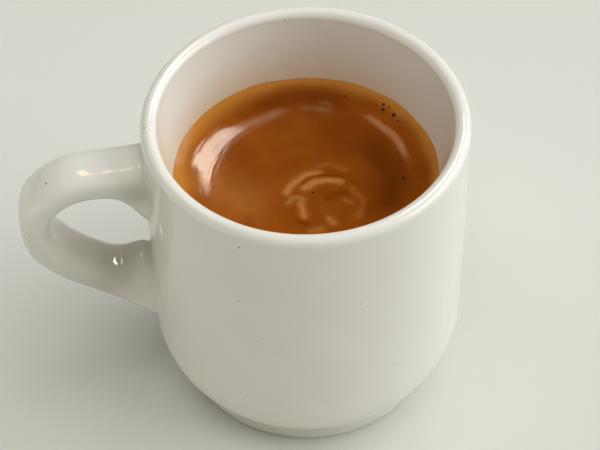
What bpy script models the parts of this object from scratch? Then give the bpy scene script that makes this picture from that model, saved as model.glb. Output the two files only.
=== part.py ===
"""A shot of espresso in its own porcelain cup, with a strap handle.

The cup is one thick-walled piece of glazed porcelain: a straight wall under a fully rounded lip,
a round shoulder, a low foot ring, and a strap handle that is luted to the wall and flares into it.
The coffee is a solid up to its foam, and the foam, or crema, is a layer of its own on top of it.
Metres, +Z up, standing on Z = 0, with the handle towards -X. The origin is in the middle of the
footprint, cup and handle together, so the cup's own axis stands a little towards +X.
"""

import math

import bmesh
import bpy
from mathutils import Vector

# The cup's outside, measured from its own axis and from the surface that it stands on
CUP_HEIGHT = 0.0655
WALL_RADIUS = 0.0300
LIP_THICKNESS = 0.0030
SHOULDER_INSET = 0.0067
SHOULDER_HEIGHT = 0.0114
FOOT_RADIUS = 0.0242
FOOT_HEIGHT = 0.0052
FOOT_RING_WIDTH = 0.0034
FOOT_EDGE = 0.0005
FOOT_CREASE = 0.0004
RECESS_DEPTH = 0.0012

# The cup's inside
LEVEL_RADIUS = 0.0246
DEEP_RADIUS = 0.0228
DEEP_HEIGHT = 0.0180
FLOOR_HEIGHT = 0.0070
FLOOR_CORNER = 0.0110

# The drink
CREMA_LEVEL = 0.0503
CREMA_THICKNESS = 0.0030
CREMA_DISH = 0.0004
CREMA_CLIMB = 0.0004
CREMA_CLIMB_WIDTH = 0.0018
GAP = 0.0003

# The handle's strap: its middle line, as distances out from the cup's axis and down from the lip
STRAP_PATH = (
    (0.0272, 0.0091),
    (0.0365, 0.0089),
    (0.0445, 0.0099),
    (0.0502, 0.0152),
    (0.0503, 0.0234),
    (0.0457, 0.0300),
    (0.0364, 0.0376),
    (0.0266, 0.0460),
)
STRAP_WIDTH = 0.0102
STRAP_THICKNESS = 0.0053
STRAP_SWELL = 0.12
STRAP_SQUARENESS = 2.8
FLARE = 0.0004
# The webs in the finger's gap, where the strap's ends spread along the wall: the depth there, how far
# out they reach, and the power that shapes the bell of their outline
UPPER_WEB = (0.0088, 0.0037, 1.5)
LOWER_WEB = (0.0074, 0.0050, 2.0)

# How finely each shape is cut
TURN_STEPS = 80
ARC_STEPS = 6
LIP_STEPS = 8
SHOULDER_STEPS = 10
EDGE_STEPS = 3
SURFACE_RINGS = 6
CLIMB_RINGS = 3
STRAP_END_STEPS = 14
STRAP_BEND_STEPS = 4
STRAP_SIDES = 22
MERGE = 0.000002

PORCELAIN_COLOUR = (0.80, 0.78, 0.70)
CREMA_COLOUR = (0.32, 0.10, 0.014)
COFFEE_COLOUR = (0.030, 0.009, 0.003)

SHOULDER_TOP = FOOT_HEIGHT + SHOULDER_HEIGHT
LIP_RADIUS = LIP_THICKNESS / 2
INNER_TOP_RADIUS = WALL_RADIUS - LIP_THICKNESS
INNER_TOP = CUP_HEIGHT - LIP_RADIUS


def clear_scene():
    for old in list(bpy.data.objects):
        bpy.data.objects.remove(old, do_unlink=True)


def make_collection(name):
    collection = bpy.data.collections.new(name)
    bpy.context.scene.collection.children.link(collection)
    return collection


def make_material(name, colour, roughness, coat):
    material = bpy.data.materials.new(name)
    material.use_nodes = True
    shader = material.node_tree.nodes["Principled BSDF"]
    shader.inputs["Base Color"].default_value = (*colour, 1.0)
    shader.inputs["Roughness"].default_value = roughness
    shader.inputs["Coat Weight"].default_value = coat
    return material


def arc(centre, radii, start, end, steps=ARC_STEPS):
    """Points on part of an ellipse, as (radius, height), with the angles in degrees from straight out."""
    points = []
    for step in range(steps + 1):
        angle = math.radians(start + (end - start) * step / steps)
        points.append((centre[0] + radii[0] * math.cos(angle), centre[1] + radii[1] * math.sin(angle)))
    return points


def inner_radius(height):
    """The radius of the cup's inside: it tapers down to the drink's level, and more gently below."""
    if height >= CREMA_LEVEL:
        share = (height - CREMA_LEVEL) / (INNER_TOP - CREMA_LEVEL)
        return LEVEL_RADIUS + (INNER_TOP_RADIUS - LEVEL_RADIUS) * share
    share = (height - DEEP_HEIGHT) / (CREMA_LEVEL - DEEP_HEIGHT)
    return DEEP_RADIUS + (LEVEL_RADIUS - DEEP_RADIUS) * share


def corner_profile(inset=0.0):
    """The round corner between the cup's floor and wall, moved in by inset, from the floor up."""
    centre = (DEEP_RADIUS - FLOOR_CORNER, DEEP_HEIGHT)
    radii = (FLOOR_CORNER - inset, DEEP_HEIGHT - FLOOR_HEIGHT - inset)
    return arc(centre, radii, -90, 0)


def foot_profile():
    """The foot, from the crease under the shoulder round its two edges to the recess inside it."""
    inside = FOOT_RADIUS - FOOT_RING_WIDTH
    edge = (FOOT_EDGE, FOOT_EDGE)
    crease = (FOOT_RADIUS + FOOT_CREASE, FOOT_HEIGHT - FOOT_CREASE)
    points = arc(crease, (FOOT_CREASE, FOOT_CREASE), 90, 180, EDGE_STEPS)
    points += arc((FOOT_RADIUS - FOOT_EDGE, FOOT_EDGE), edge, 0, -90, EDGE_STEPS)
    points += arc((inside + FOOT_EDGE, FOOT_EDGE), edge, -90, -180, EDGE_STEPS)
    points += [(inside - RECESS_DEPTH / 2, RECESS_DEPTH), (0.0, RECESS_DEPTH)]
    return points


def shoulder_profile():
    """The round shoulder, from the straight wall in to the foot's crease."""
    centre = (WALL_RADIUS - SHOULDER_INSET, SHOULDER_TOP)
    reach = (FOOT_RADIUS + FOOT_CREASE - centre[0]) / SHOULDER_INSET
    end = math.degrees(math.acos(reach))
    return arc(centre, (SHOULDER_INSET, SHOULDER_HEIGHT), 0, -end, SHOULDER_STEPS)


def cup_profile():
    """The cup's half section: out over its floor, up the inside, over the lip and down the outside."""
    lip_centre = (WALL_RADIUS - LIP_RADIUS, INNER_TOP)
    points = [(0.0, FLOOR_HEIGHT)]
    points += corner_profile()
    points += [(LEVEL_RADIUS, CREMA_LEVEL)]
    points += arc(lip_centre, (LIP_RADIUS, LIP_RADIUS), 180, 0, LIP_STEPS)
    points += shoulder_profile()
    points += foot_profile()
    return points


def espresso_profile():
    """The coffee's half section, clear of the wall: its top under the foam, its side and its bottom."""
    top = CREMA_LEVEL - CREMA_THICKNESS - GAP
    points = [(0.0, top), (inner_radius(top) - GAP, top)]
    points += reversed(corner_profile(GAP))
    points += [(0.0, FLOOR_HEIGHT + GAP)]
    return points


def crema_profile():
    """The foam's half section: a very shallow dish that climbs the wall, its side and its underside."""
    edge = inner_radius(CREMA_LEVEL) - GAP
    flat = edge - CREMA_CLIMB_WIDTH
    radii = [flat * ring / SURFACE_RINGS for ring in range(SURFACE_RINGS)]
    radii += [flat + CREMA_CLIMB_WIDTH * ring / CLIMB_RINGS for ring in range(CLIMB_RINGS + 1)]
    points = []
    for radius in radii:
        dish = CREMA_DISH * ((radius / edge) ** 2 - 0.5)
        climb = CREMA_CLIMB * (max(0.0, radius - flat) / CREMA_CLIMB_WIDTH) ** 2
        points.append((radius, CREMA_LEVEL + dish + climb))
    bottom = CREMA_LEVEL - CREMA_THICKNESS
    points += [(inner_radius(bottom) - GAP, bottom), (0.0, bottom)]
    return points


def apply_modifiers(obj):
    """The object's own shape with its modifiers, or its bevel if it is a curve, made its mesh."""
    graph = bpy.context.evaluated_depsgraph_get()
    mesh = bpy.data.meshes.new_from_object(obj.evaluated_get(graph))
    work = bmesh.new()
    work.from_mesh(mesh)
    bmesh.ops.remove_doubles(work, verts=work.verts, dist=MERGE)
    bmesh.ops.recalc_face_normals(work, faces=work.faces)
    work.to_mesh(mesh)
    work.free()
    mesh.shade_smooth()
    made = bpy.data.objects.new(obj.name, mesh)
    made.matrix_world = obj.matrix_world
    name = obj.name
    for collection in obj.users_collection:
        collection.objects.link(made)
    bpy.data.objects.remove(obj)
    made.name = name
    return made


def turned(name, profile, collection, material):
    """A half section turned about the Z axis into a closed solid."""
    mesh = bpy.data.meshes.new(name)
    vertices = [(radius, 0.0, height) for radius, height in profile]
    edges = [(index, index + 1) for index in range(len(profile) - 1)]
    mesh.from_pydata(vertices, edges, [])
    mesh.materials.append(material)
    obj = bpy.data.objects.new(name, mesh)
    collection.objects.link(obj)
    screw = obj.modifiers.new("turn", "SCREW")
    screw.steps = TURN_STEPS
    screw.render_steps = TURN_STEPS
    screw.use_merge_vertices = True
    screw.merge_threshold = MERGE
    return apply_modifiers(obj)


def strap_section(guides):
    """The strap's section as a closed curve: a rectangle with well rounded sides."""
    curve = bpy.data.curves.new("strap_section", "CURVE")
    curve.dimensions = "2D"
    spline = curve.splines.new("POLY")
    spline.points.add(STRAP_SIDES - 1)
    spline.use_cyclic_u = True
    power = 2 / STRAP_SQUARENESS
    for index, point in enumerate(spline.points):
        angle = 2 * math.pi * index / STRAP_SIDES
        across = math.copysign(abs(math.cos(angle)) ** power, math.cos(angle))
        through = math.copysign(abs(math.sin(angle)) ** power, math.sin(angle))
        point.co = (across * STRAP_WIDTH / 2, through * STRAP_THICKNESS / 2, 0.0, 1.0)
    obj = bpy.data.objects.new("strap_section", curve)
    obj.hide_render = True
    guides.objects.link(obj)
    return obj


def strap_stations():
    """The strap's middle line as a smooth run of points, close together where it nears the wall."""
    path = [Vector((-out, 0.0, CUP_HEIGHT - down)) for out, down in STRAP_PATH]
    path = [path[0] * 2 - path[1], *path, path[-1] * 2 - path[-2]]
    spans = len(path) - 3
    stations = []
    for span in range(spans):
        before, start, end, after = path[span : span + 4]
        steps = STRAP_END_STEPS if span in (0, spans - 1) else STRAP_BEND_STEPS
        for step in range(steps + (span == spans - 1)):
            t = step / steps
            curved = (end - before) * t + (before * 2 - start * 5 + end * 4 - after) * t**2
            curved += (start * 3 - before - end * 3 + after) * t**3
            stations.append((start + curved / 2, (span + t) / spans))
    return stations


def strap(collection, guides, material):
    """The handle's strap, swept along its path, with both of its ends well inside the wall."""
    curve = bpy.data.curves.new("strap", "CURVE")
    curve.dimensions = "3D"
    curve.twist_mode = "MINIMUM"
    curve.bevel_mode = "OBJECT"
    curve.bevel_object = strap_section(guides)
    curve.use_fill_caps = True
    curve.materials.append(material)
    stations = strap_stations()
    spline = curve.splines.new("POLY")
    spline.points.add(len(stations) - 1)
    for point, (place, share) in zip(spline.points, stations):
        point.co = (*place, 1.0)
        point.radius = 1.0 + STRAP_SWELL * math.sin(math.pi * share) ** 4
    obj = bpy.data.objects.new("strap", curve)
    collection.objects.link(obj)
    return apply_modifiers(obj)


def flare(obj):
    """Spreads the strap's ends along the wall, into webs in the finger's gap, and bends them to its round."""
    middle = sum(CUP_HEIGHT - down for out, down in STRAP_PATH) / len(STRAP_PATH)
    moved = []
    for vertex in obj.data.vertices:
        clear = -vertex.co.x - WALL_RADIUS
        if clear > -LIP_THICKNESS / 2:
            along_wall = Vector((0.0, vertex.normal.y, vertex.normal.z)).normalized()
            in_upper_end = vertex.co.z > middle
            web, reach, bell = UPPER_WEB if in_upper_end else LOWER_WEB
            faces_gap = (along_wall.z < 0.0) == in_upper_end
            spread = Vector((0.0, FLARE * along_wall.y, (web if faces_gap else FLARE) * along_wall.z))
            moved.append((vertex, spread * math.exp(-((max(0.0, clear) / reach) ** bell))))
    for vertex, move in moved:
        vertex.co += move
    for vertex in obj.data.vertices:
        vertex.co.x = -math.sqrt(vertex.co.x**2 - vertex.co.y**2)


def join(obj, other):
    """Fuses the other solid onto this one, so that the two are a single piece of porcelain."""
    union = obj.modifiers.new("join", "BOOLEAN")
    union.operation = "UNION"
    union.solver = "EXACT"
    union.object = other
    joined = apply_modifiers(obj)
    bpy.data.objects.remove(other)
    return joined


def stand_on_footprint(objects):
    """Hangs the pieces on an empty at the foot of the cup's axis, with the footprint's middle at the origin."""
    across = [vertex.co.x for obj in objects for vertex in obj.data.vertices]
    axis = bpy.data.objects.new("cup_axis", None)
    axis.location.x = -(min(across) + max(across)) / 2
    bpy.context.scene.collection.objects.link(axis)
    for obj in objects:
        obj.parent = axis


def build():
    parts = make_collection("espresso_shot")
    guides = make_collection("guides")
    porcelain = make_material("glazed_porcelain", PORCELAIN_COLOUR, 0.12, 0.5)
    foam = make_material("crema_foam", CREMA_COLOUR, 0.30, 0.0)
    coffee = make_material("coffee", COFFEE_COLOUR, 0.08, 0.0)
    handle = strap(parts, guides, porcelain)
    flare(handle)
    cup = join(turned("cup", cup_profile(), parts, porcelain), handle)
    espresso = turned("espresso", espresso_profile(), parts, coffee)
    crema = turned("crema", crema_profile(), parts, foam)
    stand_on_footprint([cup, espresso, crema])


clear_scene()
build()
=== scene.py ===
"""A shot of espresso in its porcelain cup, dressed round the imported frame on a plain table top."""

import math
import random

import bpy
from mathutils import Matrix, Vector, geometry, noise


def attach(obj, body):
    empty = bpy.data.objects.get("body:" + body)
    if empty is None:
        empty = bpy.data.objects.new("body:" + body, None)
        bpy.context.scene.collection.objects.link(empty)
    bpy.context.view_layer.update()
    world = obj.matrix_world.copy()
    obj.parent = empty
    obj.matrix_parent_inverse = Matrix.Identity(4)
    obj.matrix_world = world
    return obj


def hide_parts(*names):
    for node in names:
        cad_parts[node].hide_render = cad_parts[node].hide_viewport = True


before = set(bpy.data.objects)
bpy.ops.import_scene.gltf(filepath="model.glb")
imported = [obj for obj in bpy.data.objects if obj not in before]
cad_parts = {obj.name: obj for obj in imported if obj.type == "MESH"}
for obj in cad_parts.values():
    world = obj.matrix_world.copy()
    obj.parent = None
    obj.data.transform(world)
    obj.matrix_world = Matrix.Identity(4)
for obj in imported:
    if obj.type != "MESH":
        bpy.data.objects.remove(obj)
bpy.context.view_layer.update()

# Camera
# It stands in front of the cup and looks down on it at about 49 degrees, a little from the right of
# the handle's side. Its place, turn and lens come from the outlines of the rim, wall and foot.
AXIS_X = 0.01191
CUP_HEIGHT = 0.0655
VIEW_TURN = 0.131
CAMERA_BACK = 0.2755
CAMERA_ABOVE_LIP = 0.2869
CAMERA_YAW = -0.0046
CAMERA_PITCH = 0.8544
CAMERA_ROLL = -0.0134
CAMERA_LENS = 132.0
CAMERA_SENSOR = 36.0
CAMERA_NEAREST = 0.01


def as_seen(right, back, up):
    """A point given from the foot of the cup's axis as the camera sees it: to the right, back and up."""
    turn = Matrix.Rotation(-VIEW_TURN, 4, "Z")
    return turn @ Vector((right, back, up)) + Vector((AXIS_X, 0.0, 0.0))


heading = CAMERA_YAW + VIEW_TURN
forward = Vector((math.sin(heading), math.cos(heading), -math.tan(CAMERA_PITCH))).normalized()
level = Vector((math.cos(heading), -math.sin(heading), 0.0))
upright = level.cross(forward)
right = level * math.cos(CAMERA_ROLL) + upright * math.sin(CAMERA_ROLL)
up = upright * math.cos(CAMERA_ROLL) - level * math.sin(CAMERA_ROLL)
camera_data = bpy.data.cameras.new("camera")
camera_data.lens = CAMERA_LENS
camera_data.sensor_width = CAMERA_SENSOR
camera_data.clip_start = CAMERA_NEAREST
camera = bpy.data.objects.new("camera", camera_data)
camera_place = as_seen(0.0, -CAMERA_BACK, CUP_HEIGHT + CAMERA_ABOVE_LIP)
camera_turn = Matrix((right, up, -forward)).transposed().to_4x4()
camera.matrix_world = Matrix.Translation(camera_place) @ camera_turn
bpy.context.scene.collection.objects.link(camera)
bpy.context.scene.camera = camera
bpy.context.scene.view_settings.view_transform = "Standard"

# Cup body and handle
# One piece of porcelain: a slip-cast body with a thick rounded lip, a round shoulder and a foot ring,
# and a strap handle luted to it while wet, so that both ends flow into the wall. All of it is glazed.
WALL_RADIUS = 0.0300
LIP_THICKNESS = 0.0030
SHOULDER_INSET = 0.0067
SHOULDER_HEIGHT = 0.0114
FOOT_RADIUS = 0.0242
FOOT_HEIGHT = 0.0052
FOOT_RING_WIDTH = 0.0034
FOOT_EDGE = 0.0005
FOOT_CREASE = 0.0004
RECESS_DEPTH = 0.0012
LEVEL_HEIGHT = 0.0503
LEVEL_RADIUS = 0.0246
DEEP_HEIGHT = 0.0180
DEEP_RADIUS = 0.0228
FLOOR_HEIGHT = 0.0070
FLOOR_CORNER = 0.0110
BODY_STEPS = 256
BODY_SPACING = 0.00080
LIP_SPACING = BODY_SPACING / 3
EDGE_SPACING = FOOT_EDGE / 4
# The middle of the strap: how far out from the cup's axis, and how far down from the lip
STRAP_PATH = (
    (0.0272, 0.0091),
    (0.0365, 0.0089),
    (0.0445, 0.0099),
    (0.0502, 0.0152),
    (0.0503, 0.0234),
    (0.0457, 0.0300),
    (0.0364, 0.0376),
    (0.0266, 0.0460),
)
STRAP_WIDTH = 0.0102
STRAP_THICKNESS = 0.0053
STRAP_SWELL = 0.12
STRAP_SWELL_POWER = 4.0
STRAP_SQUARENESS = 2.8
STRAP_STEPS = 170
STRAP_SIDES = 64
STRAP_POINTS_A_SPAN = 24
# Where the strap's ends meet the wall they spread: a web is its depth, its reach and how sharp its bell is
FLARE = 0.0004
UPPER_WEB = (0.0088, 0.0037, 1.5)
LOWER_WEB = (0.0074, 0.0050, 2.0)
SEAM_PASSES = 6
SEAM_SPREAD = 4.0
GLAZE_WAVE = 0.00004
GLAZE_WAVE_WIDTH = 0.014
MERGE = 0.000002


def linear(colour):
    """A colour written as sRGB hex, as the linear values that the shaders take."""
    channels = [int(colour[place : place + 2], 16) / 255 for place in (1, 3, 5)]
    return (*[c / 12.92 if c <= 0.04045 else ((c + 0.055) / 1.055) ** 2.4 for c in channels], 1.0)


def add(tree, kind, links=None, **settings):
    """Adds one node to a tree with its settings, and links or sets the sockets that are named."""
    node = tree.nodes.new(kind)
    for name, setting in settings.items():
        setattr(node, name, setting)
    for socket, source in (links or {}).items():
        if isinstance(source, bpy.types.NodeSocket):
            tree.links.new(source, node.inputs[socket])
        else:
            node.inputs[socket].default_value = source
    return node


def new_finish(name, uniform):
    """A new material, its tree and its shader, which takes the settings that are the same all over."""
    finish = bpy.data.materials.new(name)
    finish.use_nodes = True
    shader = finish.node_tree.nodes["Principled BSDF"]
    for socket, setting in uniform.items():
        shader.inputs[socket].default_value = setting
    return finish, finish.node_tree, shader


def new_tree(name, sizes):
    """A Geometry Nodes tree with a named input for each size, and the sockets that give them."""
    tree = bpy.data.node_groups.new(name, "GeometryNodeTree")
    tree.interface.new_socket(name="Geometry", in_out="INPUT", socket_type="NodeSocketGeometry")
    tree.interface.new_socket(name="Geometry", in_out="OUTPUT", socket_type="NodeSocketGeometry")
    for size, kind in sizes.items():
        tree.interface.new_socket(name=size, in_out="INPUT", socket_type=kind)
    return tree, add(tree, "NodeGroupInput").outputs


def end_tree(tree, geometry, material):
    """Ends a tree: smooth faces, real meshes in place of instances, and the piece's material."""
    smooth = add(tree, "GeometryNodeSetShadeSmooth", {"Geometry": geometry})
    real = add(tree, "GeometryNodeRealizeInstances", {"Geometry": smooth.outputs[0]})
    painted = add(tree, "GeometryNodeSetMaterial", {"Geometry": real.outputs[0], "Material": material})
    add(tree, "NodeGroupOutput", {0: painted.outputs[0]})


def made_by(tree, name, mesh, sizes):
    """The plain mesh object that a tree makes from a starting mesh, with the tree's inputs set by name."""
    start = bpy.data.objects.new(f"{name}_start", mesh)
    bpy.context.scene.collection.objects.link(start)
    nodes = start.modifiers.new(tree.name, "NODES")
    nodes.node_group = tree
    for socket in tree.interface.items_tree:
        if socket.in_out == "INPUT" and socket.name in sizes:
            nodes[socket.identifier] = sizes[socket.name]
    graph = bpy.context.evaluated_depsgraph_get()
    made = bpy.data.meshes.new_from_object(start.evaluated_get(graph))
    # A mesh primitive's node brings an empty first material, which would take the real one's place
    if made.materials[0] is None:
        made.materials.pop(index=0)
    obj = bpy.data.objects.new(name, made)
    bpy.context.scene.collection.objects.link(obj)
    bpy.data.objects.remove(start)
    return obj


def line_mesh(name, points):
    """A mesh of points in a row, as the half section or the path that a tree works from."""
    mesh = bpy.data.meshes.new(name)
    mesh.from_pydata(points, [(index, index + 1) for index in range(len(points) - 1)], [])
    return mesh


def arc(centre, radii, start, end, spacing):
    """Points on part of an ellipse, as (radius, height), about as far apart as spacing."""
    steps = max(3, round(math.radians(abs(end - start)) * max(radii) / spacing))
    points = []
    for step in range(steps + 1):
        angle = math.radians(start + (end - start) * step / steps)
        points.append((centre[0] + radii[0] * math.cos(angle), centre[1] + radii[1] * math.sin(angle)))
    return points


def filled(points, spacing):
    """The half section with its long straight runs cut up, as the points that a tree turns."""
    filled_points = [points[0]]
    for before, after in zip(points, points[1:]):
        length = math.dist(before, after)
        if length < MERGE:
            continue
        steps = max(1, round(length / spacing))
        for step in range(1, steps + 1):
            share = step / steps
            filled_points.append(tuple(a + (b - a) * share for a, b in zip(before, after)))
    return [(radius, 0.0, height) for radius, height in filled_points]


def inner_radius(height):
    """The radius of the cup's inside, which tapers down to the drink's level and more gently below."""
    low, high = (DEEP_HEIGHT, DEEP_RADIUS), (LEVEL_HEIGHT, LEVEL_RADIUS)
    if height >= LEVEL_HEIGHT:
        low, high = high, (CUP_HEIGHT - LIP_THICKNESS / 2, WALL_RADIUS - LIP_THICKNESS)
    return low[1] + (high[1] - low[1]) * (height - low[0]) / (high[0] - low[0])


# Glazed porcelain: hard white body under a clear fired glaze, so a warm white with sharp reflections.
# The glaze lies a little unevenly, which the eye sees as a slow ripple in what it mirrors.
GLAZE_THIN = "#EFEEE6"
GLAZE_POOLED = "#E8E7DC"
POOLING_WIDTH = 0.012
GLAZE_ROUGHNESS = (0.05, 0.11)
GLAZE_RIPPLE = 0.00002
GLAZE_RIPPLE_WIDTH = 0.005
GLAZE_IOR = 1.52
FILM_COLOUR = "#E0B04E"
FILM_STRENGTH = 0.45
FILM_TOP = 0.0625
FILM_FADE_POWER = 2.0
FILM_FAR_BACK = 0.018
# The colour of the painted shade in the corners by the handle
PAINTED_SHADE_BROWN = "#8F8458"
# Corners of painted shade, a little brown, on the glaze: the middle, the reach and how much browner
PAINTED_SHADE_CORNERS = (
    ((-0.0255, -0.0020, 0.0335), 0.0115, 0.52),
    ((-0.0195, -0.0055, 0.0560), 0.0060, 0.42),
    ((-0.0330, -0.0020, 0.0385), 0.0070, 0.25),
)

porcelain, nodes, glaze = new_finish("glazed_porcelain", {"IOR": GLAZE_IOR})
place = add(nodes, "ShaderNodeTexCoord").outputs["Object"]
pooling = add(nodes, "ShaderNodeTexNoise", {"Vector": place, "Scale": 1 / POOLING_WIDTH, "Detail": 2.0})
tint = add(
    nodes,
    "ShaderNodeMix",
    {0: pooling.outputs[0], 6: linear(GLAZE_THIN), 7: linear(GLAZE_POOLED)},
    data_type="RGBA",
)
# The drink has left a faint warm film on the far side of the inside, strongest just above its edge
out = add(nodes, "ShaderNodeVectorMath", {0: place, 1: (AXIS_X, 0.0, 0.0)}, operation="SUBTRACT").outputs[0]
sides = add(nodes, "ShaderNodeSeparateXYZ", {0: out})
height = sides.outputs[2]
far_side = add(
    nodes, "ShaderNodeMapRange", {"Value": sides.outputs[1], "From Min": 0.0, "From Max": FILM_FAR_BACK}
).outputs[0]
out = add(nodes, "ShaderNodeVectorMath", {0: out, 1: (1.0, 1.0, 0.0)}, operation="MULTIPLY").outputs[0]
out = add(nodes, "ShaderNodeVectorMath", {0: out}, operation="LENGTH").outputs["Value"]
inside = add(
    nodes, "ShaderNodeMath", {0: out, 1: WALL_RADIUS - LIP_THICKNESS}, operation="LESS_THAN"
).outputs[0]
above = add(nodes, "ShaderNodeMath", {0: height, 1: DEEP_HEIGHT}, operation="GREATER_THAN").outputs[0]
inside = add(nodes, "ShaderNodeMath", {0: inside, 1: above}, operation="MULTIPLY").outputs[0]
inside = add(nodes, "ShaderNodeMath", {0: inside, 1: far_side}, operation="MULTIPLY").outputs[0]
low = add(
    nodes, "ShaderNodeMapRange", {"Value": height, "From Min": FILM_TOP, "From Max": LEVEL_HEIGHT}
).outputs[0]
low = add(nodes, "ShaderNodeMath", {0: low, 1: FILM_FADE_POWER}, operation="POWER").outputs[0]
low = add(nodes, "ShaderNodeMath", {0: low, 1: FILM_STRENGTH}, operation="MULTIPLY").outputs[0]
stained = add(nodes, "ShaderNodeMath", {0: low, 1: inside}, operation="MULTIPLY").outputs[0]
tint = add(
    nodes, "ShaderNodeMix", {0: stained, 6: tint.outputs[2], 7: linear(FILM_COLOUR)}, data_type="RGBA"
)
# Painted shade, a little brown, in the corners where the handle's arms meet the wall
for centre, reach, strength in PAINTED_SHADE_CORNERS:
    away = add(nodes, "ShaderNodeVectorMath", {0: place, 1: centre}, operation="DISTANCE").outputs["Value"]
    corner_shade = add(
        nodes,
        "ShaderNodeMapRange",
        {"Value": away, "From Min": reach, "From Max": 0.0, "To Max": strength},
        interpolation_type="SMOOTHSTEP",
    ).outputs[0]
    tint = add(
        nodes, "ShaderNodeMix", {0: corner_shade, 6: tint.outputs[2], 7: linear(PAINTED_SHADE_BROWN)}, data_type="RGBA"
    )
nodes.links.new(tint.outputs[2], glaze.inputs["Base Color"])
smooth, dull = GLAZE_ROUGHNESS
sheen = add(nodes, "ShaderNodeMapRange", {"Value": pooling.outputs[0], "To Min": smooth, "To Max": dull})
nodes.links.new(sheen.outputs[0], glaze.inputs["Roughness"])
ripple = add(
    nodes, "ShaderNodeTexNoise", {"Vector": place, "Scale": 1 / GLAZE_RIPPLE_WIDTH, "Detail": 1.0}
)
uneven = add(
    nodes, "ShaderNodeBump", {"Height": ripple.outputs[0], "Distance": GLAZE_RIPPLE, "Strength": 1.0}
)
nodes.links.new(uneven.outputs[0], glaze.inputs["Normal"])

# Turned shapes: a grid whose columns are copies of the half section, each turned a little further
turn_tree, given = new_tree("turn_half_section", {"Steps": "NodeSocketInt", "Axis X": "NodeSocketFloat"})
rows = add(turn_tree, "GeometryNodeAttributeDomainSize", {"Geometry": given["Geometry"]}).outputs[0]
columns = add(turn_tree, "ShaderNodeMath", {0: given["Steps"], 1: 1.0}, operation="ADD").outputs[0]
sheet = add(turn_tree, "GeometryNodeMeshGrid", {"Vertices X": columns, "Vertices Y": rows}).outputs[0]
index = add(turn_tree, "GeometryNodeInputIndex").outputs[0]
row = add(turn_tree, "ShaderNodeMath", {0: index, 1: rows}, operation="MODULO").outputs[0]
column = add(turn_tree, "ShaderNodeMath", {0: index, 1: rows}, operation="DIVIDE").outputs[0]
column = add(turn_tree, "ShaderNodeMath", {0: column}, operation="FLOOR").outputs[0]
share = add(turn_tree, "ShaderNodeMath", {0: column, 1: given["Steps"]}, operation="DIVIDE").outputs[0]
angle = add(turn_tree, "ShaderNodeMath", {0: share, 1: 2 * math.pi}, operation="MULTIPLY").outputs[0]
position = add(turn_tree, "GeometryNodeInputPosition").outputs[0]
on_section = add(
    turn_tree,
    "GeometryNodeSampleIndex",
    {"Geometry": given["Geometry"], "Value": position, "Index": row},
    data_type="FLOAT_VECTOR",
).outputs[0]
turned = add(
    turn_tree, "ShaderNodeVectorRotate", {"Vector": on_section, "Angle": angle}, rotation_type="Z_AXIS"
).outputs[0]
axis = add(turn_tree, "ShaderNodeCombineXYZ", {"X": given["Axis X"]}).outputs[0]
turned = add(turn_tree, "ShaderNodeVectorMath", {0: turned, 1: axis}, operation="ADD").outputs[0]
sheet = add(turn_tree, "GeometryNodeSetPosition", {"Geometry": sheet, "Position": turned}).outputs[0]
shell = add(turn_tree, "GeometryNodeMergeByDistance", {"Geometry": sheet, "Distance": MERGE}).outputs[0]
end_tree(turn_tree, shell, porcelain)

# The half section goes from the floor's middle up the inside, over the lip and down to the recess
foot_inside = FOOT_RADIUS - FOOT_RING_WIDTH
shoulder_centre = (WALL_RADIUS - SHOULDER_INSET, FOOT_HEIGHT + SHOULDER_HEIGHT)
shoulder_end = math.degrees(math.acos((FOOT_RADIUS + FOOT_CREASE - shoulder_centre[0]) / SHOULDER_INSET))
lip_half = LIP_THICKNESS / 2
edge = (FOOT_EDGE, FOOT_EDGE)
half_section = [(0.0, FLOOR_HEIGHT)]
half_section += arc(
    (DEEP_RADIUS - FLOOR_CORNER, DEEP_HEIGHT),
    (FLOOR_CORNER, DEEP_HEIGHT - FLOOR_HEIGHT),
    -90,
    0,
    BODY_SPACING,
)
half_section += [(LEVEL_RADIUS, LEVEL_HEIGHT)]
half_section += arc(
    (WALL_RADIUS - lip_half, CUP_HEIGHT - lip_half), (lip_half, lip_half), 180, 0, LIP_SPACING
)
half_section += arc(shoulder_centre, (SHOULDER_INSET, SHOULDER_HEIGHT), 0, -shoulder_end, BODY_SPACING)
half_section += arc(
    (FOOT_RADIUS + FOOT_CREASE, FOOT_HEIGHT - FOOT_CREASE), (FOOT_CREASE, FOOT_CREASE), 90, 180, EDGE_SPACING
)
half_section += arc((FOOT_RADIUS - FOOT_EDGE, FOOT_EDGE), edge, 0, -90, EDGE_SPACING)
half_section += arc((foot_inside + FOOT_EDGE, FOOT_EDGE), edge, -90, -180, EDGE_SPACING)
half_section += [(foot_inside - RECESS_DEPTH / 2, RECESS_DEPTH), (0.0, RECESS_DEPTH)]
body = made_by(
    turn_tree,
    "cup_body",
    line_mesh("cup_half_section", filled(half_section, BODY_SPACING)[::-1]),
    {"Steps": BODY_STEPS, "Axis X": AXIS_X},
)

# The handle: a strap with softly squared sides swept along its path, a little thicker in the middle
strap_sizes = {
    "Width": STRAP_WIDTH,
    "Thickness": STRAP_THICKNESS,
    "Swell": STRAP_SWELL,
    "Squareness": STRAP_SQUARENESS,
    "Wall Radius": WALL_RADIUS,
    "Flare": FLARE,
    "Upper Web Depth": UPPER_WEB[0],
    "Upper Web Reach": UPPER_WEB[1],
    "Upper Web Bell": UPPER_WEB[2],
    "Lower Web Depth": LOWER_WEB[0],
    "Lower Web Reach": LOWER_WEB[1],
    "Lower Web Bell": LOWER_WEB[2],
    "Middle Height": sum(CUP_HEIGHT - down for out, down in STRAP_PATH) / len(STRAP_PATH),
    "Axis X": AXIS_X,
}
strap_tree, given = new_tree("sweep_strap", dict.fromkeys(strap_sizes, "NodeSocketFloat"))
path = add(strap_tree, "GeometryNodeMeshToCurve", {0: given["Geometry"]}).outputs[0]
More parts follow.
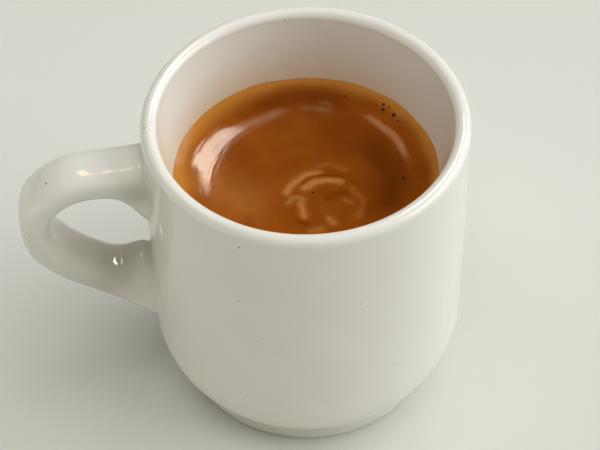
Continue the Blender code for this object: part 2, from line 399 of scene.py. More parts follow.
path = add(strap_tree, "GeometryNodeCurveSplineType", {"Curve": path}, spline_type="CATMULL_ROM").outputs[0]
path = add(
    strap_tree, "GeometryNodeSetSplineResolution", {0: path, "Resolution": STRAP_POINTS_A_SPAN}
).outputs[0]
path = add(strap_tree, "GeometryNodeResampleCurve", {"Curve": path, "Count": STRAP_STEPS}).outputs[0]
along = add(strap_tree, "GeometryNodeSplineParameter").outputs["Factor"]
bulge = add(strap_tree, "ShaderNodeMath", {0: along, 1: math.pi}, operation="MULTIPLY").outputs[0]
bulge = add(strap_tree, "ShaderNodeMath", {0: bulge}, operation="SINE").outputs[0]
bulge = add(strap_tree, "ShaderNodeMath", {0: bulge, 1: STRAP_SWELL_POWER}, operation="POWER").outputs[0]
bulge = add(
    strap_tree, "ShaderNodeMath", {0: bulge, 1: given["Swell"], 2: 1.0}, operation="MULTIPLY_ADD"
).outputs[0]
path = add(strap_tree, "GeometryNodeSetCurveRadius", {"Curve": path, "Radius": bulge}).outputs[0]
section = add(
    strap_tree, "GeometryNodeCurvePrimitiveCircle", {"Resolution": STRAP_SIDES, "Radius": 1.0}
).outputs[0]
position = add(strap_tree, "GeometryNodeInputPosition").outputs[0]
round_side = add(strap_tree, "ShaderNodeSeparateXYZ", {0: position})
power = add(strap_tree, "ShaderNodeMath", {0: 2.0, 1: given["Squareness"]}, operation="DIVIDE").outputs[0]
sides = []
for side, size in ((0, "Thickness"), (1, "Width")):
    reach = add(strap_tree, "ShaderNodeMath", {0: round_side.outputs[side]}, operation="ABSOLUTE").outputs[0]
    reach = add(strap_tree, "ShaderNodeMath", {0: reach, 1: power}, operation="POWER").outputs[0]
    sign = add(strap_tree, "ShaderNodeMath", {0: round_side.outputs[side]}, operation="SIGN").outputs[0]
    reach = add(strap_tree, "ShaderNodeMath", {0: reach, 1: sign}, operation="MULTIPLY").outputs[0]
    half = add(strap_tree, "ShaderNodeMath", {0: given[size], 1: 0.5}, operation="MULTIPLY").outputs[0]
    sides.append(add(strap_tree, "ShaderNodeMath", {0: reach, 1: half}, operation="MULTIPLY").outputs[0])
squared = add(strap_tree, "ShaderNodeCombineXYZ", {0: sides[1], 1: sides[0]}).outputs[0]
section = add(strap_tree, "GeometryNodeSetPosition", {"Geometry": section, "Position": squared}).outputs[0]
strap = add(
    strap_tree,
    "GeometryNodeCurveToMesh",
    {"Curve": path, "Profile Curve": section, "Scale": bulge, "Fill Caps": True},
).outputs[0]
strap = add(strap_tree, "GeometryNodeFlipFaces", {"Mesh": strap}).outputs[0]
# Near the wall the ends spread along it, into webs in the finger's gap and a slight flare elsewhere
position = add(strap_tree, "GeometryNodeInputPosition").outputs[0]
normal = add(strap_tree, "GeometryNodeInputNormal").outputs[0]
out = add(strap_tree, "ShaderNodeSeparateXYZ", {0: position})
clear = add(strap_tree, "ShaderNodeMath", {0: out.outputs[0], 1: -1.0}, operation="MULTIPLY").outputs[0]
clear = add(
    strap_tree, "ShaderNodeMath", {0: clear, 1: given["Wall Radius"]}, operation="SUBTRACT"
).outputs[0]
flat = add(
    strap_tree, "ShaderNodeVectorMath", {0: normal, 1: (0.0, 1.0, 1.0)}, operation="MULTIPLY"
).outputs[0]
flat = add(strap_tree, "ShaderNodeVectorMath", {0: flat}, operation="NORMALIZE").outputs[0]
along_wall = add(strap_tree, "ShaderNodeSeparateXYZ", {0: flat}).outputs
upper = add(
    strap_tree, "ShaderNodeMath", {0: out.outputs[2], 1: given["Middle Height"]}, operation="GREATER_THAN"
).outputs[0]
# The gap lies above the lower arm and below the upper one: a sign of 1 for the lower and -1 for the upper
gap_side = add(
    strap_tree, "ShaderNodeMath", {0: upper, 1: -2.0, 2: 1.0}, operation="MULTIPLY_ADD"
).outputs[0]
gap_side = add(strap_tree, "ShaderNodeMath", {0: gap_side, 1: along_wall[2]}, operation="MULTIPLY").outputs[0]
gap_side = add(strap_tree, "ShaderNodeMath", {0: gap_side, 1: 0.0}, operation="GREATER_THAN").outputs[0]
web, reach, sharpness = [
    add(
        strap_tree,
        "ShaderNodeMix",
        {0: upper, 2: given[f"Lower Web {size}"], 3: given[f"Upper Web {size}"]},
    ).outputs[0]
    for size in ("Depth", "Reach", "Bell")
]
depth = add(strap_tree, "ShaderNodeMix", {0: gap_side, 2: given["Flare"], 3: web}).outputs[0]
across = add(
    strap_tree, "ShaderNodeMath", {0: along_wall[1], 1: given["Flare"]}, operation="MULTIPLY"
).outputs[0]
height = add(strap_tree, "ShaderNodeMath", {0: along_wall[2], 1: depth}, operation="MULTIPLY").outputs[0]
spread = add(strap_tree, "ShaderNodeCombineXYZ", {1: across, 2: height}).outputs[0]
bell = add(strap_tree, "ShaderNodeMath", {0: clear, 1: 0.0}, operation="MAXIMUM").outputs[0]
bell = add(strap_tree, "ShaderNodeMath", {0: bell, 1: reach}, operation="DIVIDE").outputs[0]
bell = add(strap_tree, "ShaderNodeMath", {0: bell, 1: sharpness}, operation="POWER").outputs[0]
bell = add(strap_tree, "ShaderNodeMath", {0: bell, 1: -1.0}, operation="MULTIPLY").outputs[0]
bell = add(strap_tree, "ShaderNodeMath", {0: bell}, operation="EXPONENT").outputs[0]
spread = add(strap_tree, "ShaderNodeVectorMath", {0: spread, "Scale": bell}, operation="SCALE").outputs[0]
near = add(strap_tree, "ShaderNodeMath", {0: clear, 1: -lip_half}, operation="GREATER_THAN").outputs[0]
strap = add(
    strap_tree, "GeometryNodeSetPosition", {"Geometry": strap, "Selection": near, "Offset": spread}
).outputs[0]
# The strap is wrapped to the wall's round, so that each line across it keeps its distance from the axis
position = add(strap_tree, "GeometryNodeInputPosition").outputs[0]
spread = add(strap_tree, "ShaderNodeSeparateXYZ", {0: position})
out_squared = add(strap_tree, "ShaderNodeMath", {0: spread.outputs[0], 1: 2.0}, operation="POWER").outputs[0]
side_squared = add(strap_tree, "ShaderNodeMath", {0: spread.outputs[1], 1: 2.0}, operation="POWER").outputs[0]
wrapped = add(
    strap_tree, "ShaderNodeMath", {0: out_squared, 1: side_squared}, operation="SUBTRACT"
).outputs[0]
wrapped = add(strap_tree, "ShaderNodeMath", {0: wrapped}, operation="SQRT").outputs[0]
wrapped = add(
    strap_tree, "ShaderNodeMath", {0: given["Axis X"], 1: wrapped}, operation="SUBTRACT"
).outputs[0]
wrapped = add(
    strap_tree, "ShaderNodeCombineXYZ", {0: wrapped, 1: spread.outputs[1], 2: spread.outputs[2]}
).outputs[0]
strap = add(strap_tree, "GeometryNodeSetPosition", {"Geometry": strap, "Position": wrapped}).outputs[0]
strap = add(strap_tree, "GeometryNodeMergeByDistance", {"Geometry": strap, "Distance": MERGE}).outputs[0]
end_tree(strap_tree, strap, porcelain)
handle = made_by(
    strap_tree,
    "handle_strap",
    line_mesh("strap_path", [(-out, 0.0, CUP_HEIGHT - down) for out, down in STRAP_PATH]),
    strap_sizes,
)

# Body and handle are luted together into one solid, and the seam is softened like smoothed wet clay
join_tree, given = new_tree(
    "lute_handle_on",
    {"Handle": "NodeSocketObject", "Seam Passes": "NodeSocketInt", "Wave": "NodeSocketFloat"},
)
other = add(join_tree, "GeometryNodeObjectInfo", {"Object": given["Handle"]}).outputs["Geometry"]
union = add(join_tree, "GeometryNodeMeshBoolean", operation="UNION", solver="MANIFOLD")
join_tree.links.new(given["Geometry"], union.inputs["Mesh"])
join_tree.links.new(other, union.inputs["Mesh"])
seam = add(
    join_tree,
    "GeometryNodeBlurAttribute",
    {"Value": union.outputs["Intersecting Edges"], "Iterations": given["Seam Passes"]},
).outputs[0]
seam = add(
    join_tree, "ShaderNodeMath", {0: seam, 1: SEAM_SPREAD}, operation="MULTIPLY", use_clamp=True
).outputs[0]
position = add(join_tree, "GeometryNodeInputPosition").outputs[0]
softened = add(
    join_tree,
    "GeometryNodeBlurAttribute",
    {"Value": position, "Iterations": given["Seam Passes"], "Weight": seam},
    data_type="FLOAT_VECTOR",
).outputs[0]
joined = add(
    join_tree, "GeometryNodeSetPosition", {"Geometry": union.outputs["Mesh"], "Position": softened}
).outputs[0]
wave = add(join_tree, "ShaderNodeTexNoise", {"Scale": 1 / GLAZE_WAVE_WIDTH, "Detail": 0.0}).outputs[0]
wave = add(join_tree, "ShaderNodeMath", {0: wave, 1: given["Wave"]}, operation="MULTIPLY").outputs[0]
normal = add(join_tree, "GeometryNodeInputNormal").outputs[0]
wave = add(join_tree, "ShaderNodeVectorMath", {0: normal, "Scale": wave}, operation="SCALE").outputs[0]
joined = add(join_tree, "GeometryNodeSetPosition", {"Geometry": joined, "Offset": wave}).outputs[0]
end_tree(join_tree, joined, porcelain)

# The glaze's slow wave goes inwards only, so that the cup keeps its outer size
cup = made_by(
    join_tree,
    "porcelain_cup",
    body.data,
    {"Handle": handle, "Seam Passes": SEAM_PASSES, "Wave": -GLAZE_WAVE},
)
bpy.data.objects.remove(body)
bpy.data.objects.remove(handle)
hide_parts("cup")
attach(cup, "root")

# Crema
# The fine wet foam that an espresso machine leaves on the shot. It lies in a round dish, climbs the
# wall in a slightly wavy line, and is drawn into pale swirls where the last drops fell.
CREMA_FLAT_HEIGHT = 0.0479
CREMA_CLIMB = 0.0031
CREMA_CLIMB_WIDTH = 0.0045
CREMA_BOTTOM = 0.0471
CREMA_STEPS = 420
CREMA_SPACING = 0.00024
CREMA_INTO_WALL = 0.0003
CREMA_EDGE_WAVE = 0.00030
CREMA_EDGE_WAVE_WIDTH = 0.0070
CREMA_RIPPLE = 0.000006
CREMA_RIPPLE_WIDTH = 0.0040
CREMA_BAND = 0.0013
CREMA_BAND_WAVE = 0.5
CREMA_BAND_ON_LEFT = 0.9
# Strokes in the foam, and three broad washes of painted light and shade: points as they are seen, across
# and down in the picture, in pixels, then half the width in mm and how pale the mark is, or how dark if less
# than nothing
STROKES_AND_PAINTED_SHADING = (
    (((287, 192), (290, 187), (296, 181), (305, 175.5), (319, 172)), 0.80, 0.46),
    (((305, 188.5), (310, 184.5), (318, 181.5), (329, 180), (341, 182)), 0.72, 0.52),
    (((318, 165), (330, 164), (347, 170)), 0.55, 0.18),
    (((353, 190), (362, 197), (364.5, 206), (359, 215)), 0.85, 0.20),
    (((288, 203), (292, 198.5), (299, 197.5), (304, 200.5)), 0.65, 0.30),
    (((300, 205), (303, 211), (305, 217)), 0.80, 0.42),
    (((330, 219), (334, 222.5)), 0.85, 0.40),
    (((345, 200), (351, 202.5)), 0.50, 0.20),
    (((312, 230), (322, 229)), 0.90, 0.24),
    (((303, 183), (312, 177), (325, 174.5), (343, 177)), 0.30, -0.35),
    (((328, 198), (336, 194), (346, 193)), 0.80, -0.35),
    (((299, 222), (307, 224)), 0.80, -0.35),
    # Broad washes, not swirls: painted light on the lower left of the foam, painted shade on its right and
    # along its back
    (((205, 180), (240, 200)), 5.00, 0.16),
    (((376, 150), (392, 175), (388, 200)), 3.40, -0.62),
    (((340, 100), (300, 98), (262, 106)), 2.20, -0.30),
)
STROKE_WANDER = 0.00030
STROKE_WANDER_WIDTH = 0.0022
STROKE_WANDER_SEED = 3
PICTURE_WIDTH = 600
PICTURE_HEIGHT = 450


def seen_at(across, down, piece):
    """The place and the facing of a piece's surface at a point of the picture, in pixels."""
    focal = CAMERA_LENS / CAMERA_SENSOR * PICTURE_WIDTH
    ray = forward * focal + right * (across - PICTURE_WIDTH / 2) + up * (PICTURE_HEIGHT / 2 - down)
    hit, spot, facing, face = piece.ray_cast(camera.matrix_world.translation, ray.normalized())
    return spot, facing


crema_points = []
crema_edge = inner_radius(LEVEL_HEIGHT) + CREMA_INTO_WALL
crema_rings = round(crema_edge / CREMA_SPACING)
for ring in range(crema_rings + 1):
    radius = crema_edge * ring / crema_rings
    climb = CREMA_CLIMB * math.exp((radius - crema_edge) / CREMA_CLIMB_WIDTH)
    crema_points.append((radius, 0.0, CREMA_FLAT_HEIGHT + climb))
crema_points.append((inner_radius(CREMA_BOTTOM) + CREMA_INTO_WALL, 0.0, CREMA_BOTTOM))
crema_points.append((0.0, 0.0, CREMA_BOTTOM))
crema = made_by(
    turn_tree,
    "crema_foam",
    line_mesh("crema_half_section", crema_points[::-1]),
    {"Steps": CREMA_STEPS, "Axis X": AXIS_X},
)

# The surface's own unevenness, and two values kept on its points: how pale, from the swirls and the painted
# light and shade, and how near to the wall
middle = as_seen(0.0, 0.0, 0.0).to_2d()
to_left = (as_seen(-1.0, 0.0, 0.0).to_2d() - middle).normalized()
drawn_and_painted_runs = []
for row_points, width, strength in STROKES_AND_PAINTED_SHADING:
    ends = [seen_at(across, down, crema)[0].to_2d() for across, down in row_points]
    drawn_and_painted_runs.append((list(zip(ends, ends[1:])), width / 1000, strength))
crema.data.attributes.new("pale", "FLOAT", "POINT")
crema.data.attributes.new("band", "FLOAT", "POINT")
pale = crema.data.attributes["pale"]
band = crema.data.attributes["band"]
noise.seed_set(STROKE_WANDER_SEED)
for vertex in crema.data.vertices:
    if vertex.co.z < CREMA_FLAT_HEIGHT - MERGE:
        continue
    spot = vertex.co.to_2d()
    from_wall = crema_edge - CREMA_INTO_WALL - (spot - middle).length
    near_wall = math.exp(-max(0.0, from_wall) / CREMA_CLIMB_WIDTH)
    edge_wave = noise.noise((spot / CREMA_EDGE_WAVE_WIDTH).to_3d())
    ripple_at = (spot / CREMA_RIPPLE_WIDTH).to_3d()
    vertex.co.z += CREMA_EDGE_WAVE * edge_wave * near_wall + CREMA_RIPPLE * noise.noise(ripple_at)
    leftness = max(0.0, (spot - middle).dot(to_left) / crema_edge)
    band_width = CREMA_BAND * (1.0 + CREMA_BAND_WAVE * edge_wave + CREMA_BAND_ON_LEFT * leftness)
    band.data[vertex.index].value = math.exp(-((max(0.0, from_wall) / band_width) ** 2))
    spot += noise.noise_vector((spot / STROKE_WANDER_WIDTH).to_3d()).to_2d() * STROKE_WANDER
    paleness = 0.0
    for runs, width, strength in drawn_and_painted_runs:
        nearest = 1.0
        for start, end in runs:
            close, share = geometry.intersect_point_line(spot, start, end)
            close = start if share < 0.0 else end if share > 1.0 else close
            nearest = min(nearest, (spot - close.to_2d()).length)
        paleness += strength * math.exp(-((nearest / width) ** 2))
    pale.data[vertex.index].value = paleness

# Crema foam: coffee oils and gas in bubbles too small to see, so a deep hazel brown with a wet gloss,
# lighter where it thins out on the wall. Its grain, about 0.2 mm, is drawn at 0.3 mm so that it shows.
FOAM_BROWN = "#86420C"
FOAM_LIGHTER_BROWN = "#944C10"
# The pale swirls share their colour with the painted light, and the dark lines share theirs with the painted
# shade
FOAM_PALE_AND_PAINTED_LIGHT = "#D49A54"
FOAM_DARK_AND_PAINTED_SHADE = "#4E2000"
FOAM_THIN_ON_WALL = "#CC8A3A"
FOAM_THIN_STRENGTH = 0.75
FOAM_CLOUD_WIDTH = 0.010
FOAM_CLOUD_RANGE = (0.35, 0.65)
FOAM_STREAK_WIDTH = 0.0014
FOAM_STREAK_RANGE = (0.05, 0.5)
FOAM_GRAIN = 0.0003
FOAM_GRAIN_DEPTH = 0.000012
FOAM_GRAIN_STRENGTH = 0.35
# Fine drawn rings in the surface break up what it mirrors, and fade out along X away from the left
RING_SPACING = 0.0005
RING_LUMPS_ROUND = 9.0
RING_DEPTH = 0.00005
RING_FADE_FROM = -0.004
RING_FADE_TO = -0.013
RING_STRENGTHS = (0.05, 0.9)
FOAM_ROUGHNESS = 0.09
FOAM_IOR = 1.36
FOAM_SPECULAR = 0.30

foam, nodes, froth = new_finish(
    "crema_foam", {"Roughness": FOAM_ROUGHNESS, "IOR": FOAM_IOR, "Specular IOR Level": FOAM_SPECULAR}
)
place = add(nodes, "ShaderNodeTexCoord").outputs["Object"]
drift = add(
    nodes,
    "ShaderNodeTexNoise",
    {"Vector": place, "Scale": 1 / FOAM_CLOUD_WIDTH, "Detail": 3.0, "Distortion": 1.0},
)
least, most = FOAM_CLOUD_RANGE
clouds = add(nodes, "ShaderNodeMapRange", {"Value": drift.outputs[0], "From Min": least, "From Max": most})
brown = add(
    nodes,
    "ShaderNodeMix",
    {0: clouds.outputs[0], 6: linear(FOAM_BROWN), 7: linear(FOAM_LIGHTER_BROWN)},
    data_type="RGBA",
)
# The pale value carries the swirls and also the painted light and shade of the broad washes
swirls_and_painted_shading = add(nodes, "ShaderNodeAttribute", attribute_name="pale")
streaks = add(nodes, "ShaderNodeTexNoise", {"Vector": place, "Scale": 1 / FOAM_STREAK_WIDTH, "Detail": 3.0})
least, most = FOAM_STREAK_RANGE
patchy = add(nodes, "ShaderNodeMapRange", {"Value": streaks.outputs[0], "From Min": least, "From Max": most})
pale_swirls_and_painted_light = add(nodes, "ShaderNodeMath", {0: swirls_and_painted_shading.outputs["Fac"], 1: patchy.outputs[0]}, operation="MULTIPLY")
dark_lines_and_painted_shade = add(nodes, "ShaderNodeMath", {0: swirls_and_painted_shading.outputs["Fac"], 1: -1.0}, operation="MULTIPLY")
thin = add(nodes, "ShaderNodeAttribute", attribute_name="band")
edged = add(nodes, "ShaderNodeMath", {0: thin.outputs["Fac"], 1: FOAM_THIN_STRENGTH}, operation="MULTIPLY")
# Mixed in: pale swirls with the painted light, dark lines with the painted shade, then the thin foam on the
# wall
for share, colour in ((pale_swirls_and_painted_light, FOAM_PALE_AND_PAINTED_LIGHT), (dark_lines_and_painted_shade, FOAM_DARK_AND_PAINTED_SHADE), (edged, FOAM_THIN_ON_WALL)):
    brown = add(
        nodes,
        "ShaderNodeMix",
        {0: share.outputs[0], 6: brown.outputs[2], 7: linear(colour)},
        data_type="RGBA",
    )
nodes.links.new(brown.outputs[2], froth.inputs["Base Color"])
grain = add(nodes, "ShaderNodeTexVoronoi", {"Vector": place, "Scale": 1 / FOAM_GRAIN})
grainy = add(
    nodes,
    "ShaderNodeBump",
    {"Height": grain.outputs[0], "Distance": FOAM_GRAIN_DEPTH, "Strength": FOAM_GRAIN_STRENGTH},
)
out = add(nodes, "ShaderNodeVectorMath", {0: place, 1: (AXIS_X, 0.0, 0.0)}, operation="SUBTRACT").outputs[0]
sides = add(nodes, "ShaderNodeSeparateXYZ", {0: out})
ring = add(nodes, "ShaderNodeVectorMath", {0: out}, operation="LENGTH").outputs["Value"]
ring = add(nodes, "ShaderNodeMath", {0: ring, 1: 1 / RING_SPACING}, operation="MULTIPLY").outputs[0]
ring = add(nodes, "ShaderNodeCombineXYZ", {2: ring}).outputs[0]
lumps = (RING_LUMPS_ROUND, RING_LUMPS_ROUND, 0.0)
turn = add(nodes, "ShaderNodeVectorMath", {0: out}, operation="NORMALIZE").outputs[0]
turn = add(nodes, "ShaderNodeVectorMath", {0: turn, 1: lumps, 2: ring}, operation="MULTIPLY_ADD").outputs[0]
drawn_rings = add(nodes, "ShaderNodeTexNoise", {"Vector": turn, "Scale": 1.0, "Detail": 2.0})
faint, clear = RING_STRENGTHS
left_side = add(
    nodes,
    "ShaderNodeMapRange",
    {
        "Value": sides.outputs[0],
        "From Min": RING_FADE_FROM,
        "From Max": RING_FADE_TO,
        "To Min": faint,
        "To Max": clear,
    },
)
ringed = add(
    nodes,
    "ShaderNodeBump",
    {
        "Height": drawn_rings.outputs[0],
        "Distance": RING_DEPTH,
        "Strength": left_side.outputs[0],
        "Normal": grainy.outputs[0],
    },
)
nodes.links.new(ringed.outputs[0], froth.inputs["Normal"])
crema.data.materials.clear()
crema.data.materials.append(foam)
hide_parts("crema")
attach(crema, "root")

# Espresso
# The coffee itself, under its foam: it fills the cup from the floor up to the crema, so none of it
# shows from above. It is dark brown and clear only in a thin film.
ESPRESSO_TOP = 0.0473
ESPRESSO_INTO_WALL = 0.0002

espresso_section = [(0.0, 0.0, FLOOR_HEIGHT - ESPRESSO_INTO_WALL)]
for radius, height in arc(
    (DEEP_RADIUS - FLOOR_CORNER, DEEP_HEIGHT),
    (FLOOR_CORNER + ESPRESSO_INTO_WALL, DEEP_HEIGHT - FLOOR_HEIGHT + ESPRESSO_INTO_WALL),
    -90,
    0,
    BODY_SPACING,
):
    espresso_section.append((radius, 0.0, height))
espresso_section.append((inner_radius(ESPRESSO_TOP) + ESPRESSO_INTO_WALL, 0.0, ESPRESSO_TOP))
espresso_section.append((0.0, 0.0, ESPRESSO_TOP))

# Black coffee: water, oils and fine grounds, so nearly black in depth, with a smooth liquid's gloss.
COFFEE_DARK = "#2A1206"
COFFEE_BROWN = "#3A1A0A"
COFFEE_CLOUD_WIDTH = 0.008
COFFEE_ROUGHNESS = 0.04
COFFEE_IOR = 1.34

coffee, nodes, liquid = new_finish("black_coffee", {"Roughness": COFFEE_ROUGHNESS, "IOR": COFFEE_IOR})
place = add(nodes, "ShaderNodeTexCoord").outputs["Object"]
clouds = add(nodes, "ShaderNodeTexNoise", {"Vector": place, "Scale": 1 / COFFEE_CLOUD_WIDTH, "Detail": 2.0})
depths = add(
    nodes,
    "ShaderNodeMix",
    {0: clouds.outputs[0], 6: linear(COFFEE_DARK), 7: linear(COFFEE_BROWN)},
    data_type="RGBA",
)
nodes.links.new(depths.outputs[2], liquid.inputs["Base Color"])
espresso = made_by(
    turn_tree,
    "espresso_body",
    line_mesh("espresso_half_section", espresso_section),
    {"Steps": BODY_STEPS // 2, "Axis X": AXIS_X},
)
espresso.data.materials.clear()
espresso.data.materials.append(coffee)
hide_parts("espresso")
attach(espresso, "root")

# Bubbles
# A few larger bubbles have burst or stand open on the crema and look dark, and a row of tiny ones
# lines its edge along the wall. Each is a thin dome: of coffee film for the open ones, of foam for the tiny
# ones.

# Open bubbles, as they are seen: across and down in the picture, in pixels, then their radius in mm
OPEN_BUBBLES = (
    (404.0, 178.0, 0.42),
    (383.5, 104.5, 0.30),
    (383.0, 109.5, 0.34),
    (393.5, 115.0, 0.42),
    (389.0, 107.0, 0.20),
    (376.0, 105.0, 0.18),
    (313.0, 192.5, 0.22),
    (398.0, 121.0, 0.18),
    (214.0, 187.0, 0.14),
    (345.0, 96.0, 0.16),
)
EDGE_BUBBLES = 130
EDGE_BUBBLES_SEED = 7
EDGE_BUBBLE_RADII = (0.00005, 0.00011)
EDGE_BUBBLES_FROM_WALL = (0.0001, 0.0011)
BUBBLE_FLATNESS = 0.55
DOME_SEGMENTS = 14
DOME_RINGS = 8


def spots_mesh(name, spots):
    """Loose points with a facing and a radius each, from (place, facing, radius)."""
    mesh = bpy.data.meshes.new(name)
    mesh.from_pydata([spot for spot, facing, radius in spots], [], [])
    mesh.attributes.new("spot_facing", "FLOAT_VECTOR", "POINT")
    mesh.attributes.new("spot_size", "FLOAT", "POINT")
    for index, (spot, facing, radius) in enumerate(spots):
        mesh.attributes["spot_facing"].data[index].vector = facing
        mesh.attributes["spot_size"].data[index].value = radius
    return mesh


spot_tree, given = new_tree("set_on_surface", {"Flatness": "NodeSocketFloat", "Finish": "NodeSocketMaterial"})
points = add(spot_tree, "GeometryNodeMeshToPoints", {"Mesh": given["Geometry"]}).outputs[0]
ball = add(
    spot_tree,
    "GeometryNodeMeshUVSphere",
    {"Segments": DOME_SEGMENTS, "Rings": DOME_RINGS, "Radius": 1.0},
).outputs[0]
squash = add(spot_tree, "ShaderNodeCombineXYZ", {0: 1.0, 1: 1.0, 2: given["Flatness"]}).outputs[0]
dome = add(spot_tree, "GeometryNodeTransform", {"Geometry": ball, "Scale": squash}).outputs[0]
facing = add(
    spot_tree, "GeometryNodeInputNamedAttribute", {"Name": "spot_facing"}, data_type="FLOAT_VECTOR"
).outputs["Attribute"]
turn = add(spot_tree, "FunctionNodeAlignRotationToVector", {"Vector": facing}, axis="Z").outputs[0]
radius = add(
    spot_tree, "GeometryNodeInputNamedAttribute", {"Name": "spot_size"}, data_type="FLOAT"
).outputs["Attribute"]
domes = add(
    spot_tree,
    "GeometryNodeInstanceOnPoints",
    {"Points": points, "Instance": dome, "Rotation": turn, "Scale": radius},
).outputs[0]
end_tree(spot_tree, domes, given["Finish"])

# Coffee film: clear brown liquid drawn thin over a hollow, so dark and sharply glossy.
SKIN_DARK = "#2E1200"
SKIN_BROWN = "#4A2004"
SKIN_MOTTLE_WIDTH = 0.0004
SKIN_ROUGHNESS = 0.12

film, nodes, skin = new_finish("coffee_film", {"Roughness": SKIN_ROUGHNESS, "IOR": COFFEE_IOR})
place = add(nodes, "ShaderNodeTexCoord").outputs["Object"]
tone = add(nodes, "ShaderNodeTexNoise", {"Vector": place, "Scale": 1 / SKIN_MOTTLE_WIDTH, "Detail": 1.0})
dark = add(
    nodes,
    "ShaderNodeMix",
    {0: tone.outputs[0], 6: linear(SKIN_DARK), 7: linear(SKIN_BROWN)},
    data_type="RGBA",
)
nodes.links.new(dark.outputs[2], skin.inputs["Base Color"])

open_spots = []
for across, down, radius in OPEN_BUBBLES:
    spot, facing = seen_at(across, down, crema)
    open_spots.append((spot, facing, radius / 1000))
bubbles = made_by(
    spot_tree,
    "open_bubbles",
    spots_mesh("open_bubble_places", open_spots),
    {"Flatness": BUBBLE_FLATNESS, "Finish": film},
)
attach(bubbles, "root")

random.seed(EDGE_BUBBLES_SEED)
edge_spots = []
for number in range(EDGE_BUBBLES):
    angle = 2 * math.pi * (number + random.random()) / EDGE_BUBBLES
    from_axis = crema_edge - CREMA_INTO_WALL - random.uniform(*EDGE_BUBBLES_FROM_WALL)
    above = Vector((AXIS_X + from_axis * math.cos(angle), from_axis * math.sin(angle), CUP_HEIGHT))
    hit, spot, facing, face = crema.ray_cast(above, Vector((0.0, 0.0, -1.0)))
    edge_spots.append((spot, facing, random.uniform(*EDGE_BUBBLE_RADII)))
edge_bubbles = made_by(
    spot_tree,
    "edge_bubbles",
    spots_mesh("edge_bubble_places", edge_spots),
    {"Flatness": BUBBLE_FLATNESS, "Finish": foam},
)
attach(edge_bubbles, "root")

# Glaze specks
# Specks of iron in the clay that have burnt through the glaze in the kiln: flat brown-grey dots a
# fraction of a millimetre wide, thinly spread over the cup and its handle.

# Specks as they are seen: across and down in the picture, in pixels, then their radius in mm
SEEN_SPECKS = (
    (46.0, 183.5, 0.24),
    (144.0, 128.0, 0.20),
    (285.0, 20.0, 0.14),
    (408.0, 33.0, 0.16),
    (239.0, 247.5, 0.20),
    (241.0, 392.0, 0.15),
    (396.0, 364.0, 0.13),
    (349.0, 372.0, 0.12),
    (361.0, 304.0, 0.12),
    (313.0, 313.0, 0.11),
    (238.0, 301.0, 0.13),
    (257.0, 341.0, 0.12),
    (30.0, 236.0, 0.12),
)
# Specks out of the camera's sight: degrees round the axis from +X, then height and radius in mm
HIDDEN_SPECKS = (
    (40, 31, 0.14),
    (72, 50, 0.12),
    (95, 22, 0.16),
    (128, 41, 0.11),
    (20, 45, 0.12),
    (150, 28, 0.13),
)
SPECK_FLATNESS = 0.12
SPECKS_SOUGHT_FROM = 1.5 * WALL_RADIUS

# Burnt iron speck: a dull grey-brown stain under the same glaze, so as glossy as the cup round it.
SPECK_BROWN = "#7C7262"
SPECK_GREY = "#A59C8A"
SPECK_MOTTLE_WIDTH = 0.0003
SPECK_ROUGHNESS = 0.10

speck_finish, nodes, stain = new_finish("iron_speck", {"Roughness": SPECK_ROUGHNESS, "IOR": GLAZE_IOR})
place = add(nodes, "ShaderNodeTexCoord").outputs["Object"]
tone = add(nodes, "ShaderNodeTexNoise", {"Vector": place, "Scale": 1 / SPECK_MOTTLE_WIDTH, "Detail": 1.0})
burnt = add(
    nodes,
    "ShaderNodeMix",
    {0: tone.outputs[0], 6: linear(SPECK_BROWN), 7: linear(SPECK_GREY)},
    data_type="RGBA",
)
nodes.links.new(burnt.outputs[2], stain.inputs["Base Color"])

speck_spots = []
for across, down, radius in SEEN_SPECKS:
    spot, facing = seen_at(across, down, cup)
    speck_spots.append((spot, facing, radius / 1000))
for degrees, height, radius in HIDDEN_SPECKS:
    outwards = Vector((math.cos(math.radians(degrees)), math.sin(math.radians(degrees)), 0.0))
    start = Vector((AXIS_X, 0.0, height / 1000)) + outwards * SPECKS_SOUGHT_FROM
    hit, spot, facing, face = cup.ray_cast(start, -outwards)
    speck_spots.append((spot, facing, radius / 1000))
specks = made_by(
    spot_tree,
    "glaze_specks",
    spots_mesh("speck_places", speck_spots),
    {"Flatness": SPECK_FLATNESS, "Finish": speck_finish},
)
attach(specks, "root")

# Table and light
# A white laminate table top, almost matt, in a dim warm-white room. A large soft window stands to the
# right and a smaller one behind, under a pale ceiling, and the wall on the left gives some light back.
TABLE_HALF = 2.0
TABLE_COLOUR = "#DADBD4"
TABLE_ROUGHNESS = 0.50
TABLE_SPECULAR = 0.10
DAYLIGHT = "#FCFDFF"
CEILING_WHITE = "#FFFEFA"
ROOM_WHITE = "#FFF8EC"
LAMPLIGHT = "#FFE8C0"
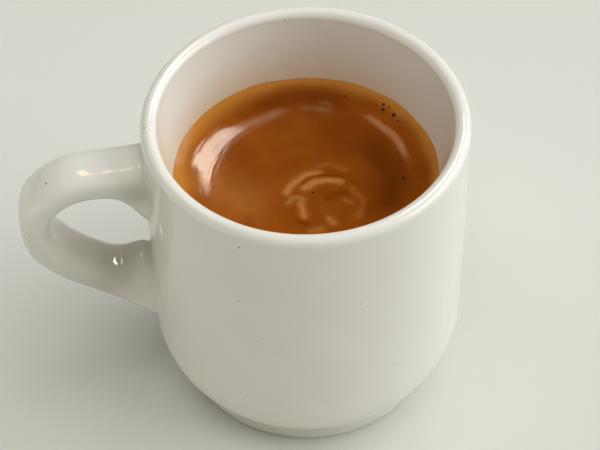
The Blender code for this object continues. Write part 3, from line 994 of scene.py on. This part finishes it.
# Each lamp: its azimuth, elevation and distance from the drink, its size, watts and colour, and the
# kind of ray that doesn't see it. Those that no diffuse ray sees show only as reflections.
LAMPS = {
    "window": (81.0, 26.0, 6.0, (7.6, 3.7), 300.0, DAYLIGHT, None),
    "back_window": (35.0, 38.0, 3.0, (1.6, 1.2), 15.0, DAYLIGHT, "glossy"),
    "ceiling": (150.0, 77.0, 2.4, (2.0, 2.0), 30.0, CEILING_WHITE, "glossy"),
    "left_high": (-75.0, 45.0, 2.0, (1.0, 1.0), 4.6, CEILING_WHITE, "glossy"),
    "left_wall": (-112.0, 3.0, 1.6, (1.6, 0.7), 4.0, ROOM_WHITE, None),
    "far_pane": (23.5, 51.5, 1.0, (0.21, 0.24), 5.4, "#FFF6E2", "diffuse"),
    "far_pane_top": (11.5, 60.5, 1.0, (0.10, 0.08), 0.15, "#FFEACC", "diffuse"),
    "warm_wall": (-25.0, 57.0, 1.0, (0.10, 0.24), 0.60, "#FFD0A0", "diffuse"),
    "ceiling_strip": (-5.5, 64.4, 1.0, (0.045, 0.012), 0.045, LAMPLIGHT, "diffuse"),
    "ceiling_strip_twin": (-10.5, 69.4, 1.0, (0.040, 0.010), 0.028, LAMPLIGHT, "diffuse"),
}
# The room is darkest high up behind the cup: how near to that direction it begins to darken and is
# darkest, as cosines, and its brightness elsewhere and there
DARK_SIDE = (0.0, 49.0)
DARKENS_BETWEEN = (0.60, 0.93)
ROOM_BRIGHTNESS = (0.13, 0.03)


def from_cup(azimuth, elevation, distance):
    """A place at a distance from the drink: azimuth in degrees from straight back to the right."""
    flat = distance * math.cos(math.radians(elevation))
    turn = math.radians(azimuth)
    height = LEVEL_HEIGHT + distance * math.sin(math.radians(elevation))
    return as_seen(flat * math.sin(turn), flat * math.cos(turn), height)


floor_mesh = bpy.data.meshes.new("table_top")
floor_mesh.from_pydata(
    [(x * TABLE_HALF, y * TABLE_HALF, 0.0) for x, y in ((-1, -1), (1, -1), (1, 1), (-1, 1))],
    [],
    [(0, 1, 2, 3)],
)
table = bpy.data.objects.new("table_top", floor_mesh)
bpy.context.scene.collection.objects.link(table)
# White laminate: melamine paper pressed to a fine satin, so it mirrors next to nothing.
laminate, nodes, top = new_finish(
    "white_laminate", {"Roughness": TABLE_ROUGHNESS, "Specular IOR Level": TABLE_SPECULAR}
)
top.inputs["Base Color"].default_value = linear(TABLE_COLOUR)
floor_mesh.materials.append(laminate)

drink = as_seen(0.0, 0.0, LEVEL_HEIGHT)
for name, (azimuth, elevation, distance, size, watts, colour, unseen_by) in LAMPS.items():
    light = bpy.data.lights.new(name, "AREA")
    light.shape = "RECTANGLE"
    light.size, light.size_y = size
    light.energy = watts
    light.color = linear(colour)[:3]
    lamp = bpy.data.objects.new(name, light)
    lamp.location = from_cup(azimuth, elevation, distance)
    lamp.rotation_euler = (drink - lamp.location).to_track_quat("-Z", "Y").to_euler()
    lamp.visible_glossy = unseen_by != "glossy"
    lamp.visible_diffuse = unseen_by != "diffuse"
    bpy.context.scene.collection.objects.link(lamp)

world = bpy.data.worlds.new("room")
bpy.context.scene.world = world
world.use_nodes = True
room = world.node_tree
towards = add(room, "ShaderNodeTexCoord").outputs["Generated"]
dark_side = (from_cup(*DARK_SIDE, 1.0) - drink).normalized()
facing = add(
    room, "ShaderNodeVectorMath", {0: towards, 1: dark_side}, operation="DOT_PRODUCT"
).outputs["Value"]
begins, darkest = DARKENS_BETWEEN
elsewhere, there = ROOM_BRIGHTNESS
brightness = add(
    room,
    "ShaderNodeMapRange",
    {"Value": facing, "From Min": begins, "From Max": darkest, "To Min": elsewhere, "To Max": there},
    interpolation_type="SMOOTHSTEP",
)
background = room.nodes["Background"]
room.links.new(brightness.outputs[0], background.inputs["Strength"])
background.inputs["Color"].default_value = linear(ROOM_WHITE)
